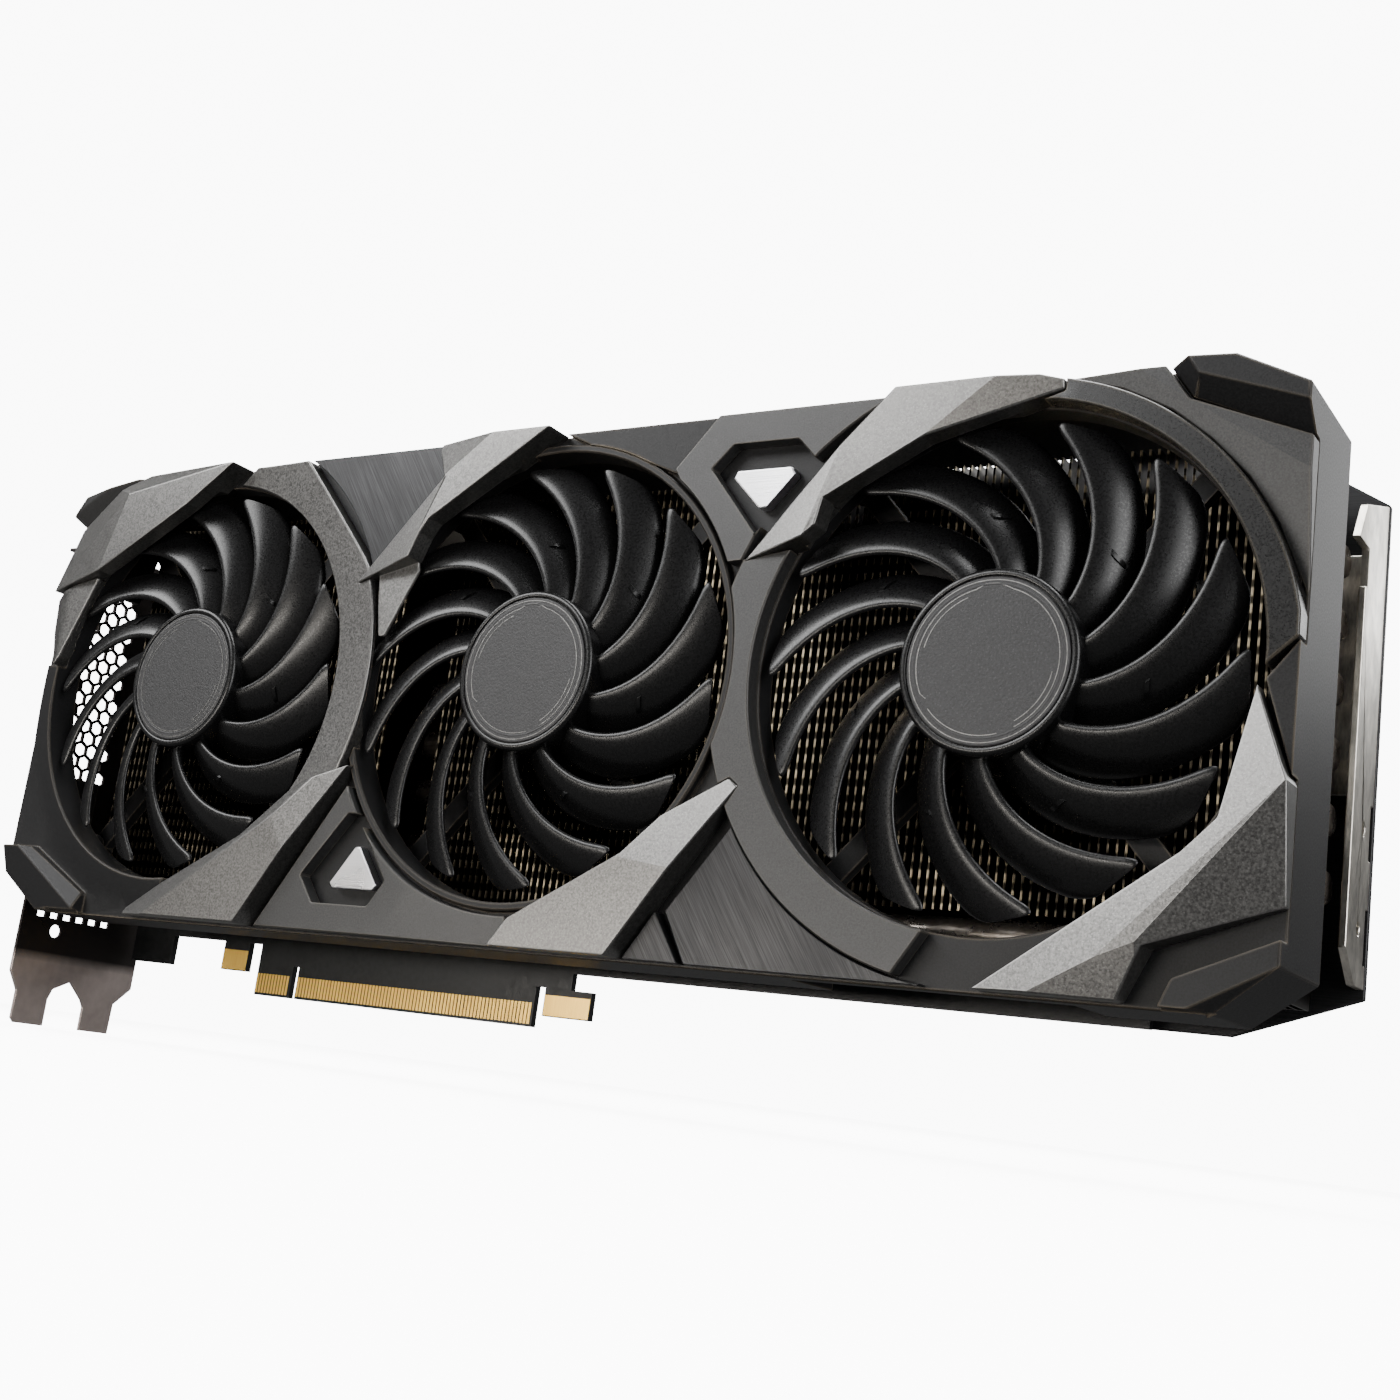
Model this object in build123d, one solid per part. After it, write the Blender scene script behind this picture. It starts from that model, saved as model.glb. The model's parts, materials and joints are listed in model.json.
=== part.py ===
from build123d import *
import math
import os

os.makedirs("parts", exist_ok=True)

# ------------------------------------------------------------------ driving dimensions (mm)
# The origin is on the key notch of the slot connector, at the connector's bottom edge and in
# the middle of the board's thickness.  +X runs along the card away from the I/O bracket,
# +Y points to the backplate (the fans face -Y) and +Z points up, away from the slot.

# fans
FAN_COUNT = 3
FAN_PITCH = 98.4
FIRST_FAN_X = -4.5
FAN_Z = 67.2
OPENING_R = 46.0
BLADE_COUNT = 14
BLADE_FRONT_Y = -46.3
FAN_PHASES = [6.0, 0.0, 4.5]
BLADE_TIP_R = 43.3
HUB_R = 16.4
SIDES = ["left", "middle", "right"]

# depth levels, front to back
TRIM_Y = -51.5
RING_Y = -48.0
RING_DISH = 1.6
COLLAR_Y = -46.8
PANEL_Y = -47.0
BASE_Y = -44.5
BASE_T = 2.5
DUCT_BACK_Y = -39.5
DUCT_T = 1.6
BLADE_CLEAR_Y = -46.7
LIP_Y = -46.5
WALL_BACK_Y = -24.4
WALL_T = 1.8
ROOF_BACK_Y = -6.0
FIN_FRONT_Y = -24.0
FIN_BACK_Y = -4.2
PIPE_Y = -7.3
PIPE_R = 3.0
COLD_PLATE_BACK_Y = -2.8
BOARD_T = 1.57
BACKPLATE_Y = 4.2
BACKPLATE_T = 1.3

# outline of the card
BRACKET_X = -60.2
BRACKET_T = 0.8
CARD_END_X = 244.0
SHROUD_BOTTOM_Z = 12.0
SHROUD_TOP_Z = 117.2
BOARD_TOP_Z = 111.15
BOARD_END_X = 209.0

# slot connector
CONTACT_PITCH = 1.0
CONTACT_W = 0.7
CONTACT_T = 0.04
KEY_W = 1.9
SHORT_ROW = 11
LONG_ROW = 71


# ------------------------------------------------------------------ helpers
def fan_x(index):
    """X of one fan's axis."""
    return FIRST_FAN_X + index * FAN_PITCH


def front_plane(y, u=0.0):
    """Drawing plane of the front face: x to the right, y up, from a fan's axis."""
    return Plane(origin=(FIRST_FAN_X + u, y, FAN_Z), x_dir=(1, 0, 0), z_dir=(0, -1, 0))


def prism(points, front_y, back_y):
    """Solid between two depths, with an outline drawn about the first fan's axis."""
    face = front_plane(back_y) * make_face(Polyline(*points, close=True))
    return extrude(face, amount=back_y - front_y)


def disc(index, radius, front_y, back_y):
    """Round slab about one fan's axis."""
    plane = front_plane(back_y, index * FAN_PITCH)
    return extrude(plane * Circle(radius), amount=back_y - front_y)


def tube(index, outer, inner, front_y, back_y):
    """Round wall about one fan's axis."""
    return disc(index, outer, front_y, back_y) - disc(index, inner, front_y - 1, back_y + 1)


def block(x0, x1, y0, y1, z0, z1):
    """Box from its six limits."""
    return Pos((x0 + x1) / 2, (y0 + y1) / 2, (z0 + z1) / 2) * Box(x1 - x0, y1 - y0, z1 - z0)


def point3(u, v, y):
    """Card position of a point drawn about the first fan's axis."""
    return Vector(FIRST_FAN_X + u, y, FAN_Z + v)


def slope(body, first, second, third):
    """Plane off everything in front of the plane through three (u, v, y) points."""
    a, b, c = point3(*first), point3(*second), point3(*third)
    normal = (b - a).cross(c - a).normalized()
    if normal.Y > 0:
        normal = normal * -1
    cutter = Plane(origin=a, z_dir=normal) * Pos(0, 0, 100) * Box(900, 900, 200)
    return body - cutter


def clear_of_blades(body, index):
    """Thin a piece where it overhangs the fan, so the blades pass behind it."""
    return body - disc(index, BLADE_TIP_R + 1.4, BLADE_CLEAR_Y, BASE_Y + 1)


def only_solid(shape):
    """The largest solid of a shape, without slivers."""
    return max(shape.solids(), key=lambda solid: solid.volume)


NODES = {}


def keep(name, *shapes):
    """File one node, made of one or several solids."""
    solids = [solid for shape in shapes for solid in shape.solids()]
    NODES[name] = solids[0] if len(solids) == 1 else Compound(children=solids)


# ------------------------------------------------------------------ shroud
SHROUD_OUTLINE = [
    (-52, -40.5), (-51, -47), (-38, -55.2), (238, -55.2), (248.1, -47.5), (248.1, 43.5), (236, 49.5),
    (228, 50), (-30, 50), (-46, 46), (-49.5, 41), (-46.5, 38), (-52, 22),
]
UPPER_HEX = [(136.2, 39), (140.6, 43.6), (154.6, 43.6), (159, 39), (147.6, 25.4)]
LOWER_HEX = [(47.5, -43.2), (58, -30), (60.6, -30), (71, -43.4), (67.2, -48.8), (52, -48.8)]


def shroud_walls():
    """Side walls behind the front plate, with a deeper roof; the bracket end has an air opening."""
    outer = make_face(Polyline(*SHROUD_OUTLINE, close=True))
    inner = offset(outer, amount=-WALL_T, kind=Kind.INTERSECTION)
    walls = extrude(front_plane(WALL_BACK_Y) * (outer - inner), amount=WALL_BACK_Y - BASE_Y - 1)
    walls = walls + block(-34, 226, WALL_BACK_Y, ROOF_BACK_Y, SHROUD_TOP_Z - WALL_T, SHROUD_TOP_Z)
    web = [(-49, 41), (-46, 46), (-30, 50), (-28, 50), (-28, 44.5), (-45.6, 44.5)]
    walls = walls + prism(web, WALL_BACK_Y - 3.6, WALL_BACK_Y)
    bracket_end = block(-70, -38, DUCT_BACK_Y + 3, 0, 46, 93)
    power_gap = block(150, 196, -15, 0, 100, 130)
    pipe_window = block(158, 210, BASE_Y + 4, 0, 0, 20)
    return walls.cut(bracket_end, power_gap, pipe_window)


def corner_blocks():
    """Bevelled guards on the four corners of the front."""
    top_left = prism([(-49.5, 41), (-46, 46), (-30, 50), (-24, 50), (-30.5, 47.4), (-46.3, 38.3)], -48.5, BASE_Y)
    top_left = slope(top_left, (-46.3, 38.3, -46), (-30.5, 47.4, -46), (-38, 48, -48.5))
    low_left = prism([(-52, -40.5), (-42, -40.5), (-22, -50.5), (-22, -55), (-38, -55.2), (-51, -47)], -48, BASE_Y)
    low_left = slope(low_left, (-43, -42, -48), (-24, -53, -48), (-22, -50, -45.5))
    low_left = slope(low_left, (-43, -42, -48), (-24, -53, -48), (-51, -47, -45.5))
    top_right = prism([(224, 50), (228.5, 44), (248.1, 36), (248.1, 43.5), (236, 49.5), (228, 50)], -51, BASE_Y)
    top_right = slope(top_right, (230, 46.8, -51), (248.1, 40.5, -51), (248.1, 36, -46))
    top_right = slope(top_right, (230, 46.8, -51), (228, 50, -51), (224, 50, -46.5))
    low_right = prism([(230, -55.2), (232, -50.4), (248.1, -43.4), (248.1, -47.5), (238, -55.2)], -48, BASE_Y)
    low_right = slope(low_right, (236, -54, -48), (248.1, -47.4, -48), (248.1, -49, -46.5))
    return [top_left, low_left, top_right, low_right]


def front_plate():
    """Front wall of the moulding, with its three round openings."""
    face = make_face(Polyline(*SHROUD_OUTLINE, close=True))
    for index in range(FAN_COUNT):
        face = face - Pos(index * FAN_PITCH, 0) * Circle(OPENING_R + DUCT_T / 2)
    return extrude(front_plane(BASE_Y + BASE_T) * face, amount=BASE_T)


def shroud_shell():
    """Black moulding: front plate, air ducts, side walls, corner guards and screw posts."""
    ducts = []
    posts = []
    pilot_holes = []
    for index in range(FAN_COUNT):
        ducts.append(tube(index, OPENING_R + DUCT_T, OPENING_R, BASE_Y, DUCT_BACK_Y))
        for angle in LUG_ANGLES:
            posts.append(lug_cylinder(index, angle, LUG_R, BASE_Y + BASE_T - 0.5, LUG_FRONT_Y))
            pilot_holes.append(lug_cylinder(index, angle, SCREW_R, -41, LUG_FRONT_Y + 1))
    top_pad = prism([(99, 50), (107, 46.4), (115, 44.4), (127.5, 39.2), (136, 50)], PANEL_Y + 0.6, BASE_Y)
    end_pad = prism([(243.2, -3.6), (248.1, 2.6), (248.1, -19)], RING_Y, BASE_Y)
    lip = tube(1, OPENING_R + DUCT_T, OPENING_R, LIP_Y, BASE_Y) - disc(0, 57.2, -60, -40)
    lip = lip - prism(LEFT_LOWER, -60, -40) - prism(MIDDLE_UPPER, -60, -40) - prism(MIDDLE_LOWER, -60, -40)
    lip = lip - prism(SIDE_LEG, -60, -40)
    shell = front_plate().fuse(shroud_walls(), top_pad, end_pad, lip, collar_lower_left(), *corner_blocks(), *ducts, *posts)
    bottom_edge = block(-70, 260, -60, -46, 0, SHROUD_BOTTOM_Z + 0.4)
    return only_solid(shell.cut(bottom_edge, *pilot_holes))


def turned(section, index):
    """Solid of revolution about one fan's axis, from a section of (radius, y) points."""
    axis = Axis((index * FAN_PITCH + FIRST_FAN_X, 0, FAN_Z), (0, 1, 0))
    plane = Plane(origin=axis.position, x_dir=(1, 0, 0), z_dir=(0, 0, 1))
    return revolve(plane * make_face(section), axis)


def dished(ring, index, outer_r):
    """Slope a collar's face down towards its opening."""
    section = Polyline((0, RING_Y - 5), (outer_r, RING_Y - 5), (outer_r, RING_Y), (OPENING_R, RING_Y + RING_DISH),
                       (0, RING_Y + RING_DISH), close=True)
    return ring - turned(section, index)


def collar_lower_left():
    """Black collar at the lower left of the first fan, highest at its rim, part of the moulding."""
    section = Polyline((OPENING_R, COLLAR_Y), (OPENING_R + 0.8, COLLAR_Y), (54, BASE_Y), (54, BASE_Y + 0.5),
                       (OPENING_R, BASE_Y + 0.5), close=True)
    collar = turned(section, 0) & prism([(-60, 5), (-40, 3), (-20, -30), (5, -40), (5, -47.5), (-2, -53), (-60, -60)],
                                        -60, -40)
    collar = collar & extrude(front_plane(-40) * make_face(Polyline(*SHROUD_OUTLINE, close=True)), amount=20)
    return collar - prism(LEFT_LOWER, -60, -40) - prism(LOWER_CORNER, -60, -40)


def ring_left():
    """Painted dished collar round the fan at the bracket end, with its flat at the upper left."""
    ring = dished(tube(0, 57, OPENING_R + 0.2, RING_Y, BASE_Y), 0, 57)
    side = prism([(-51.8, 20.5), (-37, 26.5), (-36, 24.5), (-44.8, 5.5), (-46.4, 3.5), (-50.6, 12)], RING_Y, BASE_Y)
    side = side - prism(LEFT_UPPER, -60, -40)
    ring = ring & prism([(6, -47.5), (8, -46), (30, -36), (42, -25.5), (56.5, -21), (70, 0), (50, 26),
                         (28, 49.6), (11, 49.6), (5, 45), (5, 10), (6, -10)], -60, -40)
    ring = ring - prism(LEFT_LOWER, -60, -40)
    ring = ring - prism(LEFT_UPPER, -60, -40) - prism(MIDDLE_UPPER, -60, -40)
    side = slope(side, (-46.4, 3.5, RING_Y), (-47.5, 20, RING_Y), (-51.8, 20, RING_Y + 2))
    pieces = [solid for solid in clear_of_blades(ring, 1).solids() if solid.volume > 50]
    return pieces + [clear_of_blades(side, 0)]


LEFT_UPPER = [(-51.5, 22), (-46.5, 37.7), (-30, 47.6), (-24, 50), (7, 50), (-6.3, 40.7), (-33, 25.8)]
LEFT_LOWER = [(-5, -54.6), (-4.5, -53.2), (6, -47), (30, -35.8), (42, -24.4), (56, -19.8), (33, -54.6)]
LOWER_CORNER = [(-53, -40), (-42, -40.2), (-21.8, -50.3), (-21.8, -56), (-53, -56)]
MIDDLE_UPPER = [(49.5, 20), (66, 24), (68, 29), (70, 32), (98.5, 50), (67, 50), (67, 48.5), (72.5, 41)]
SIDE_LEG = [(55, 22.2), (65.2, 25), (66.2, 22), (59.4, 8), (57.8, 8), (56.2, 15)]
MIDDLE_LOWER = [(101.5, -54.6), (105.6, -49.2), (129.4, -35.8), (136.4, -28.4), (149.3, -20.9),
                (151.3, -22.4), (129, -54.6)]
RIGHT_UPPER = [(146.5, 20), (160, 23), (162.5, 25), (163.5, 30), (182, 40), (206.5, 47.3), (206.5, 49),
               (202, 50), (175.6, 50)]
RIGHT_LOWER = [(242, -4.5), (248.1, -20), (248.1, -38.5), (228, -46), (224, -54.6), (200, -54.6),
               (211, -46.8), (233, -31.2), (238, -26)]


def trim_left_upper():
    """Three-facet blade over the first fan."""
    body = prism(LEFT_UPPER, TRIM_Y + 0.5, BASE_Y)
    body = slope(body, (-51.5, 22, RING_Y), (-27.1, 44.6, TRIM_Y + 0.5), (-33, 25.8, TRIM_Y + 0.5))
    body = slope(body, (-51.5, 22, RING_Y), (-27.1, 44.6, TRIM_Y + 0.5), (-46.5, 37.7, -47))
    body = slope(body, (-27.1, 44.6, TRIM_Y + 0.5), (7, 50, TRIM_Y + 0.5), (-24, 50, -48))
    return clear_of_blades(body, 0)


def trim_left_lower():
    """Blade under the first fan, with a dark return along its fan side."""
    body = prism(LEFT_LOWER, TRIM_Y + 1, BASE_Y)
    body = slope(body, (4, -54.6, TRIM_Y + 1), (27, -39.5, TRIM_Y + 1), (6, -47, -47.6))
    body = slope(body, (38, -30, TRIM_Y + 1), (44, -39, TRIM_Y + 1), (56, -19.8, RING_Y))
    return clear_of_blades(clear_of_blades(body, 0), 1)


def trim_middle_upper():
    """Blade over the second fan and its short leg down the fan's side."""
    body = prism(MIDDLE_UPPER, TRIM_Y, BASE_Y)
    body = slope(body, (49.5, 20, RING_Y), (66, 24, TRIM_Y), (72.5, 41, TRIM_Y))
    body = slope(body, (72.5, 41, TRIM_Y), (84, 50, TRIM_Y), (67, 50, -47.5))
    return clear_of_blades(body + prism(SIDE_LEG, RING_Y + 0.5, BASE_Y), 1)


def trim_middle_lower():
    """Blade under the second fan."""
    body = prism(MIDDLE_LOWER, TRIM_Y + 1, BASE_Y)
    body = slope(body, (128, -36.5, TRIM_Y + 1), (140, -38, TRIM_Y + 1), (151.3, -22.4, RING_Y))
    return clear_of_blades(clear_of_blades(body, 1), 2)


def trim_right_upper():
    """Blade over the third fan, with a darker facet at its end."""
    body = prism(RIGHT_UPPER, TRIM_Y, BASE_Y)
    body = slope(body, (146.5, 20, RING_Y), (160, 23, TRIM_Y), (166, 40, TRIM_Y))
    body = slope(body, (182, 40, TRIM_Y), (195, 50, TRIM_Y), (206.5, 48, TRIM_Y + 2.4))
    return clear_of_blades(body, 2)


def trim_right_lower():
    """Large faceted wedge at the lower far corner."""
    body = prism(RIGHT_LOWER, TRIM_Y + 0.5, BASE_Y)
    top = (248.1, -20, TRIM_Y + 0.5)
    middle = (227, -45.6, TRIM_Y + 0.5)
    body = slope(body, top, middle, (211, -46.8, TRIM_Y + 1.5))
    body = slope(body, top, middle, (248.1, -38.5, RING_Y + 1.5))
    body = slope(body, middle, (202, -54, TRIM_Y + 1), (224, -54.6, RING_Y - 1))
    body = slope(body, top, (238, -26, TRIM_Y + 1.2), (242, -4.5, RING_Y))
    return clear_of_blades(body, 2)


def trim_right_side():
    """Flat cheek between the third fan's collar and the far end."""
    cheek = prism([(206.8, 50), (206.8, 49.6), (216, 47), (225, 42.2), (232, 36.4), (238, 30), (243, 22),
                   (247, 12), (248.1, 7), (248.1, 35.6), (228, 43.7), (223.5, 49.9)], RING_Y, BASE_Y)
    return slope(cheek, (228, 43.7, RING_Y), (248.1, 30, RING_Y), (215, 48, RING_Y + 0.8))


def ring_right_upper():
    """Glossy crescent at the upper right of the third fan."""
    outer = make_face(
        Polyline((241.6, -3), (248, 2.8), (248, 6.8))
        + ThreePointArc((248, 6.8), (236.3, 31.6), (206.6, 49.4))
        + Polyline((206.6, 49.4), (206.6, 47.1), (193, 43), (193, -3), (241.6, -3))
    )
    body = extrude(front_plane(BASE_Y) * outer, amount=BASE_Y - RING_Y + 0.8)
    body = body - disc(2, OPENING_R + 0.3, -60, -40) - prism(RIGHT_UPPER, -60, -40)
    return only_solid(body - trim_right_side())


def ring_right_lower():
    """Satin collar round the left and the bottom of the third fan."""
    ring = tube(2, 54.6, OPENING_R + 0.2, RING_Y, BASE_Y)
    ring = ring & prism([(140, 19.4), (159, 22.2), (164, 20), (196, 0), (190, -46), (184.6, -54.4), (140, -54.4)],
                        -60, -40)
    return only_solid(ring - disc(1, OPENING_R + 2.2, -60, -40) - prism(MIDDLE_LOWER, -60, -40)
                      - prism(RIGHT_UPPER, -60, -40))


def panel_upper():
    """Brushed insert between the first two fans, at the top."""
    body = prism([(27, 49.9), (66.8, 49.9), (66.8, 48.4), (72.3, 40.9), (51.5, 22.4), (30, 30)], PANEL_Y, BASE_Y)
    return only_solid(body - disc(0, 57.4, -60, -40) - prism(MIDDLE_UPPER, -60, -40))


def panel_lower():
    """Brushed insert between the last two fans, at the bottom."""
    body = prism([(138.8, -45.4), (151.8, -28), (190, -28), (190, -54.6), (144, -54.6)], PANEL_Y, BASE_Y)
    return only_solid(body - disc(2, 55.0, -60, -40))


def badge_plate_upper():
    """Grey plate with a five-sided recess, between the last two fans at the top."""
    plate = prism([(136.6, 49.9), (175.2, 49.9), (146.2, 20.4), (140, 20), (127.8, 39.5)], PANEL_Y - 0.6, BASE_Y)
    plate = plate - disc(1, OPENING_R + 2.4, -60, -40) - prism(RIGHT_UPPER, -60, -40)
    return only_solid(plate - disc(2, 55.0, -60, -40) - prism(UPPER_HEX, -60, -40))


def badge_plate_lower():
    """Grey plate with a six-sided recess, under and between the first two fans."""
    plate = prism([(36.3, -54.6), (57.4, -22.6), (62, -20), (101.3, -45), (101.3, -54.6)], PANEL_Y - 0.6, BASE_Y)
    plate = slope(plate, (77, -44, PANEL_Y - 0.6), (71.5, -54.6, PANEL_Y - 0.6), (101, -50, BASE_Y - 1))
    plate = plate - disc(1, OPENING_R + 2.4, -60, -40) - disc(0, 57.6, -60, -40)
    return only_solid(plate - prism(LEFT_LOWER, -60, -40) - prism(LOWER_HEX, -60, -40))


def badge(points):
    """Silver triangle on a low black foot inside a recess."""
    return prism(points, PANEL_Y + 0.2, BASE_Y)


def filler_lower():
    """Small grey wedge beside the lower brushed insert."""
    return prism([(130.6, -54.6), (136.6, -45.6), (142.6, -54.6)], PANEL_Y, BASE_Y)


# ------------------------------------------------------------------ fans
LUG_ANGLES = [48, 132, 228, 312]
LUG_CIRCLE_R = 52.0
LUG_R = 3.4
LUG_FRONT_Y = -34.2
FRAME_BACK_Y = -31.7
SCREW_R = 1.1
MOTOR_BASE_R = 17.0
SHAFT_R = 1.0
SHAFT_CLEARANCE = 0.03


def lug_cylinder(index, angle, radius, front_y, back_y):
    """Round post or hole on the circle of a fan's fixing screws."""
    u = index * FAN_PITCH + LUG_CIRCLE_R * math.cos(math.radians(angle))
    v = LUG_CIRCLE_R * math.sin(math.radians(angle))
    plane = Plane(origin=point3(u, v, back_y), x_dir=(1, 0, 0), z_dir=(0, -1, 0))
    return extrude(plane * Circle(radius), amount=back_y - front_y)


def blade_section(radius):
    """Thin slanted section of a blade, square to the radius at its own sweep angle."""
    span = (radius - HUB_R) / (BLADE_TIP_R - HUB_R)
    sweep = 40.0 * (max(span, 0.0) ** 1.15 - 1)
    width = 8.2 + 4.6 * span
    angle = math.radians(sweep) - width / 2 / radius
    radial = Vector(math.cos(angle), 0, math.sin(angle))
    tangent = Vector(-math.sin(angle), 0, math.cos(angle))
    front = BLADE_FRONT_Y
    depth = 6.4 - 2.4 * span
    thickness = 1.5 - 0.3 * span
    across = Vector(0, thickness, 0)
    lead = radial * radius + tangent * (width / 2) + Vector(0, front, 0)
    middle = radial * radius + tangent * (width * 0.12) + Vector(0, front + depth * 0.2, 0)
    trail = radial * radius - tangent * (width / 2) + Vector(0, front + depth, 0)
    outline = [lead, middle, trail, trail + across, middle + across, lead + across]
    return Face(Wire.make_polygon(outline, close=True))


def blade():
    """One swept blade, lofted from hub to tip and trimmed to a round tip."""
    radii = [HUB_R - 0.6, 22, 29, 36, BLADE_TIP_R + 1.5]
    body = loft([blade_section(radius) for radius in radii])
    sleeve = Pos(0, -40, 0) * Rot(90, 0, 0) * Cylinder(BLADE_TIP_R, 30)
    return body & sleeve


def rotor_at_origin():
    """Hub cup with its ring of blades, about the Y axis."""
    plane = Plane(origin=(0, -36, 0), x_dir=(1, 0, 0), z_dir=(0, -1, 0))
    cup = extrude(plane * Circle(HUB_R), amount=12)
    cup = fillet(cup.edges().group_by(Axis.Y)[0], 0.9)
    cup = cup - extrude(plane * Circle(HUB_R - 1.2), amount=10.4)
    sticker_seat = Plane(origin=(0, -47.6, 0), x_dir=(1, 0, 0), z_dir=(0, -1, 0))
    cup = cup - extrude(sticker_seat * Circle(14.9), amount=2)
    boss_plane = Plane(origin=(0, -43.4, 0), x_dir=(1, 0, 0), z_dir=(0, -1, 0))
    cup = cup + extrude(boss_plane * Circle(3), amount=3)
    cup = cup - extrude(boss_plane * Circle(SHAFT_R), amount=2.4)
    one = blade()
    blades = [Rot(0, -360 / BLADE_COUNT * step, 0) * one for step in range(BLADE_COUNT)]
    return cup.fuse(*blades)


def fan_frame(index):
    """Motor base, bearing tube and four struts that screw to the shroud's posts."""
    body = disc(index, MOTOR_BASE_R, LUG_FRONT_Y, FRAME_BACK_Y)
    for angle in LUG_ANGLES:
        strut = Pos(LUG_CIRCLE_R / 2, 0, 0) * Box(LUG_CIRCLE_R, FRAME_BACK_Y - LUG_FRONT_Y, 4.4)
        middle = point3(index * FAN_PITCH, 0, (LUG_FRONT_Y + FRAME_BACK_Y) / 2)
        body = body + Pos(*middle) * Rot(0, -angle, 0) * strut
        body = body + lug_cylinder(index, angle, LUG_R, LUG_FRONT_Y, FRAME_BACK_Y)
        body = body - lug_cylinder(index, angle, SCREW_R + 0.2, LUG_FRONT_Y - 1, FRAME_BACK_Y + 1)
    body = body + disc(index, 3.8, -42.6, LUG_FRONT_Y)
    return only_solid(body - disc(index, 2.5, -43, FRAME_BACK_Y - 0.8))


def fan_stator(index):
    """Wound core: a bore, nine poles and a round yoke."""
    core = tube(index, 6.2, 3.85, -43.2, -36.4)
    for step in range(9):
        pole = Pos(8.6, 0, 0) * Box(7.6, 4.4, 2.2)
        shoe = Pos(12.0, 0, 0) * Box(0.9, 5.6, 6.4)
        middle = point3(index * FAN_PITCH, 0, -39.8)
        core = core + Pos(*middle) * Rot(0, 40 * step, 0) * (pole + shoe)
    return only_solid(core)


def fans():
    """File every piece of the three fans."""
    rotor = rotor_at_origin()
    for index, side in enumerate(SIDES):
        keep(f"fan_{side}_rotor", Pos(fan_x(index), 0, FAN_Z) * Rot(0, -FAN_PHASES[index], 0) * rotor)
        keep(f"fan_{side}_hub_cap", disc(index, 14.8, -48.0, -47.6))
        keep(f"fan_{side}_magnet_ring", tube(index, HUB_R - 1.25, 13.2, -46.0, -36.6))
        keep(f"fan_{side}_shaft", disc(index, SHAFT_R, -45.7, FRAME_BACK_Y - 1.2))
        keep(f"fan_{side}_bearing", tube(index, 2.45, SHAFT_R + SHAFT_CLEARANCE, -42.4, FRAME_BACK_Y - 1.4))
        keep(f"fan_{side}_stator", fan_stator(index))
        keep(f"fan_{side}_frame", fan_frame(index))


# ------------------------------------------------------------------ heatsink
FIN_PITCH = 1.65
FIN_T = 0.4
FIN_BOTTOM_Z = 17.5
FIN_TOP_Z = 112.5
LEFT_STACK = (-54.0, 37.5)
RIGHT_STACK = (53.5, 237.5)
PIPE_Z = [38.0, 49.5, 61.0, 72.5, 84.0, 95.5]
PIPE_LEFT_X = -47.0
PORT_END_X = -49.7
PIPE_RIGHT_X = 240.0
LOOP_Z = 24.5
LOOP_FRONT_Y = -19.3
LOOP_X = 198.0


def fin_stack(x0, x1):
    """Comb of upright fins on a folded foot, slotted for the heat pipes."""
    count = int((x1 - x0 - FIN_T) / FIN_PITCH) + 1
    foot_y = FIN_BACK_Y - 0.6
    end = x0 + (count - 1) * FIN_PITCH + FIN_T
    profile = [(end, FIN_BACK_Y), (x0, FIN_BACK_Y)]
    for step in range(count):
        left = x0 + step * FIN_PITCH
        profile += [(left, FIN_FRONT_Y), (left + FIN_T, FIN_FRONT_Y)]
        if step < count - 1:
            profile += [(left + FIN_T, foot_y), (left + FIN_PITCH, foot_y)]
    face = Plane(origin=(0, 0, FIN_BOTTOM_Z)) * make_face(Polyline(*profile, close=True))
    stack = extrude(face, amount=FIN_TOP_Z - FIN_BOTTOM_Z)
    for z in PIPE_Z:
        stack = stack - block(x0 - 1, x1 + 1, PIPE_Y - PIPE_R - 0.1, 0, z - PIPE_R - 0.1, z + PIPE_R + 0.1)
    return stack


def loop_pipe():
    """Lower heat pipe: runs under the fins, turns back and rises across the fan's lower edge."""
    back_run = Line((10, PIPE_Y, LOOP_Z), (LOOP_X, PIPE_Y, LOOP_Z))
    turn_x = LOOP_X + (PIPE_Y - LOOP_FRONT_Y) / 2
    turn = ThreePointArc((LOOP_X, PIPE_Y, LOOP_Z), (turn_x, (PIPE_Y + LOOP_FRONT_Y) / 2, LOOP_Z),
                         (LOOP_X, LOOP_FRONT_Y, LOOP_Z))
    front_run = Line((LOOP_X, LOOP_FRONT_Y, LOOP_Z), (150, LOOP_FRONT_Y, LOOP_Z))
    path = back_run + turn + front_run
    section = Plane(origin=(10, PIPE_Y, LOOP_Z), z_dir=(1, 0, 0)) * Circle(PIPE_R)
    return sweep(section, path=path)


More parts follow.
